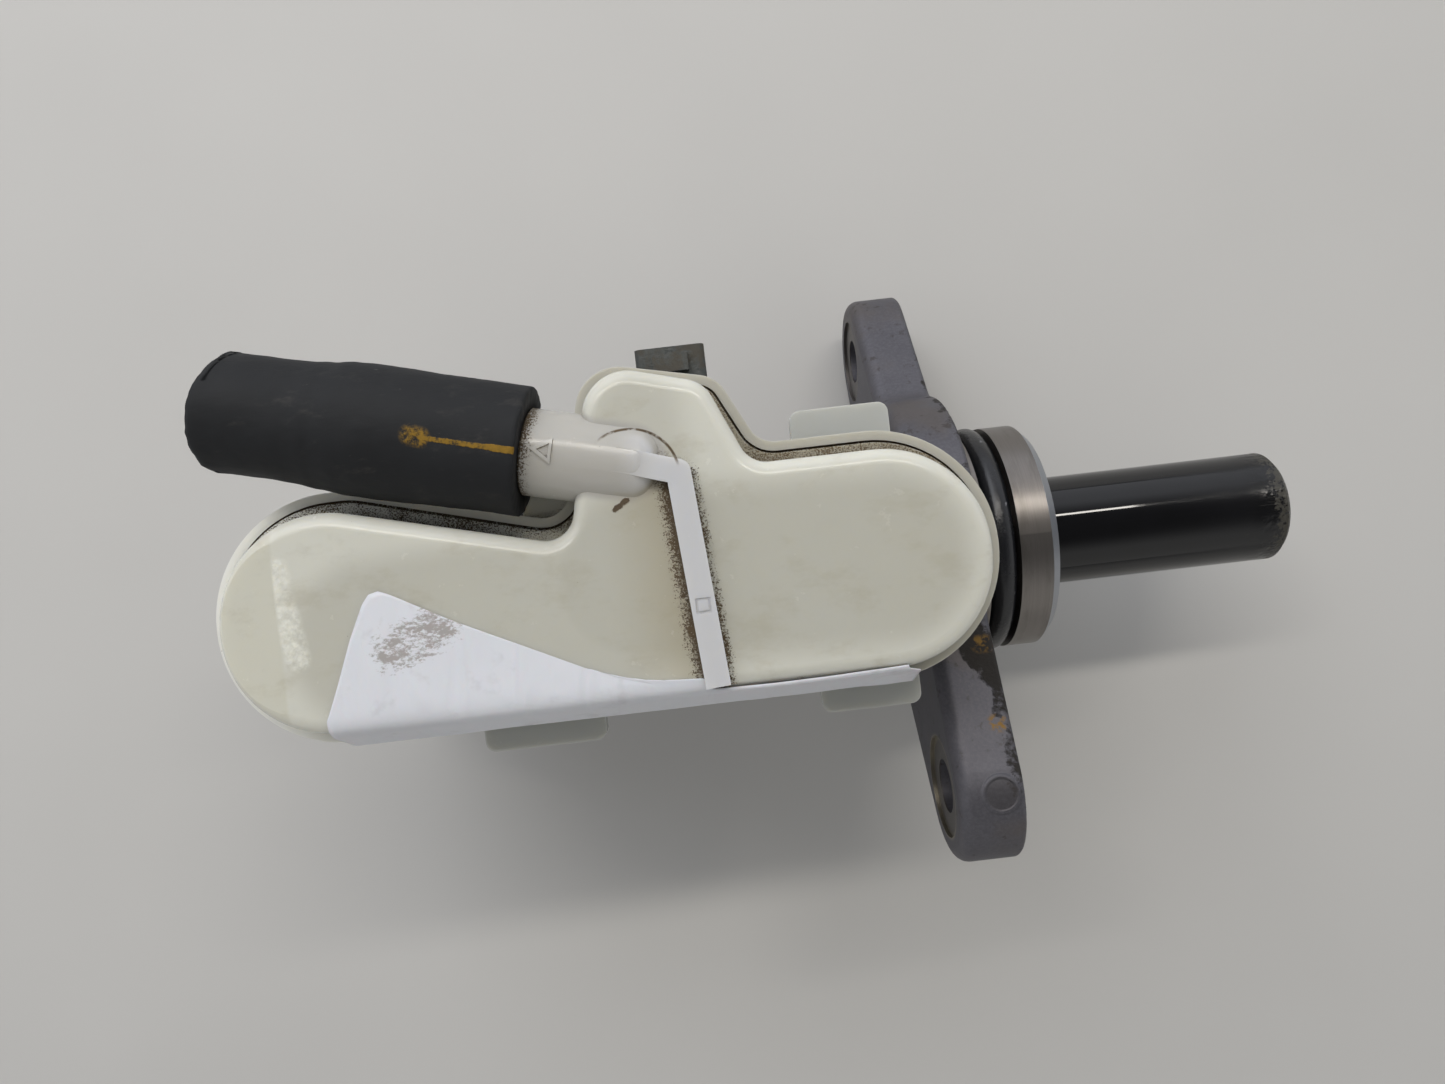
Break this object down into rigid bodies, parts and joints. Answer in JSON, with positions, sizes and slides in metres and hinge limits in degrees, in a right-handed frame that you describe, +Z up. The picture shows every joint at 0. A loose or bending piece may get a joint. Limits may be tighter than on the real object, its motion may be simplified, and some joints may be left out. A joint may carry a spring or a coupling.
{
  "type": "brake master cylinder",
  "caption": "Tandem brake master cylinder with a flanged casting, a long push-rod piston, and a welded plastic fluid reservoir with a side nipple and a short feed hose.",
  "frame": {"origin": "bore axis at the flange face that bolts to the brake booster", "axes": "+X along the bore, back towards the booster and the driver; +Z up to the reservoir; +Y to the side of the hose nipple"},
  "size_m": [0.1804, 0.1068, 0.0967],
  "materials": {
    "casting": "as-cast, dark grey",
    "piston": "black hard-anodised, gloss",
    "turned_aluminium": "turned",
    "seal_rubber": "matt",
    "hose_rubber": "matt, moulded",
    "reservoir_plastic": "translucent ivory",
    "sensor_plastic": "black, dusty",
    "float_plastic": "foamed",
    "spring_steel": "drawn wire",
    "steel": "zinc plated",
    "brass": "turned",
    "magnet": "sintered",
    "paper": "white printed-matter paper, blank"
  },
  "bodies": {
    "housing": {"cylinder_body": "casting", "spigot_o_ring": "seal_rubber", "piston_guide": "turned_aluminium", "guide_o_ring": "seal_rubber", "snap_ring": "spring_steel", "rod_seal": "seal_rubber", "primary_cup": "seal_rubber", "separating_cup": "seal_rubber", "secondary_cup": "seal_rubber", "secondary_spring": "spring_steel", "port_seats": "brass", "rear_grommet": "seal_rubber", "front_grommet": "seal_rubber", "reservoir_upper": "reservoir_plastic", "reservoir_lower": "reservoir_plastic", "reservoir_pin": "spring_steel", "level_sensor": "sensor_plastic", "sensor_terminals": "brass", "inlet_hose": "hose_rubber", "paper_label": "paper"},
    "primary_slider": {"primary_piston": "piston", "retainer_screw": "steel"},
    "secondary_slider": {"secondary_piston": "piston", "spring_retainer": "steel", "primary_spring": "spring_steel"},
    "level_float": {"float_body": "float_plastic", "float_magnet": "magnet"}
  },
  "joints": [
    {"name": "primary_stroke", "type": "slide", "parent": "housing", "child": "primary_slider", "axis": [1, 0, 0], "range_m": [-0.028, 0], "stiffness_N_per_m": 1500, "springref_m": 0.01, "deforming": ["primary_spring"]},
    {"name": "secondary_stroke", "type": "slide", "parent": "housing", "child": "secondary_slider", "axis": [1, 0, 0], "range_m": [-0.013, 0], "deforming": ["secondary_spring"]},
    {"name": "float_rise", "type": "slide", "parent": "housing", "child": "level_float", "axis": [0, 0, 1], "range_m": [0, 0.006]}
  ],
  "couplings": [
    {"joint": "secondary_stroke", "follows": "primary_stroke", "ratio": 0.464}
  ]
}
